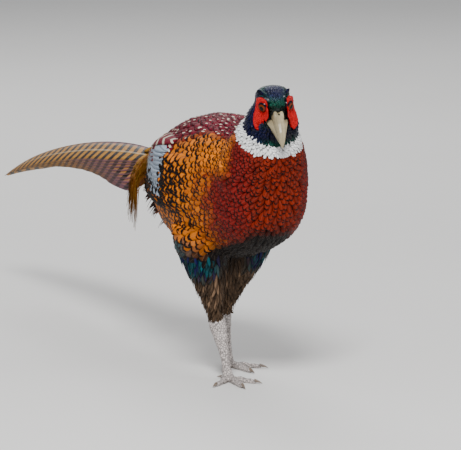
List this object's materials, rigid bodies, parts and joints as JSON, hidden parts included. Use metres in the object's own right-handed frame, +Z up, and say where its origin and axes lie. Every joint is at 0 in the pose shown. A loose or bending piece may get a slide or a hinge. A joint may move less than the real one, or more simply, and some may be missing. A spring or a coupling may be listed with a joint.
{
  "type": "common pheasant (adult cock), still life-size model",
  "caption": "Standing cock pheasant with drawn-in neck, white neck ring, red face skin and long graduated tail",
  "frame": {"origin": "middle of the sole of the right foot, on the floor", "axes": "+Z up, +Y back along the tail, +X to the left side of the bird, which faces -Y"},
  "size_m": [0.134, 0.7234, 0.3025],
  "materials": {
    "body_feathers": "satin",
    "head_feathers": "gloss",
    "white_feathers": "matte",
    "wing_feathers": "satin",
    "tail_feathers": "satin",
    "leg_feathers": "matte",
    "red_skin": "matte",
    "bill": "satin",
    "eye": "gloss",
    "scaled_skin": "satin",
    "claw": "satin"
  },
  "bodies": {
    "root": {"head": "head_feathers", "bill_upper": "bill", "bill_lower": "bill", "eye_right": "eye", "wattle_right": "red_skin", "ear_tuft_right": "head_feathers", "eye_left": "eye", "wattle_left": "red_skin", "ear_tuft_left": "head_feathers", "torso": "body_feathers", "collar": "white_feathers", "neck": "head_feathers", "rump": "tail_feathers", "tail": "tail_feathers", "wing_right": "wing_feathers", "wing_left": "wing_feathers", "thigh_right": "leg_feathers", "tarsus_right": "scaled_skin", "spur_right": "claw", "toe_inner_right": "scaled_skin", "claw_inner_right": "claw", "toe_middle_right": "scaled_skin", "claw_middle_right": "claw", "toe_outer_right": "scaled_skin", "claw_outer_right": "claw", "toe_hind_right": "scaled_skin", "claw_hind_right": "claw", "thigh_left": "leg_feathers", "tarsus_left": "scaled_skin", "spur_left": "claw", "toe_inner_left": "scaled_skin", "claw_inner_left": "claw", "toe_middle_left": "scaled_skin", "claw_middle_left": "claw", "toe_outer_left": "scaled_skin", "claw_outer_left": "claw", "toe_hind_left": "scaled_skin", "claw_hind_left": "claw"}
  },
  "joints": []
}
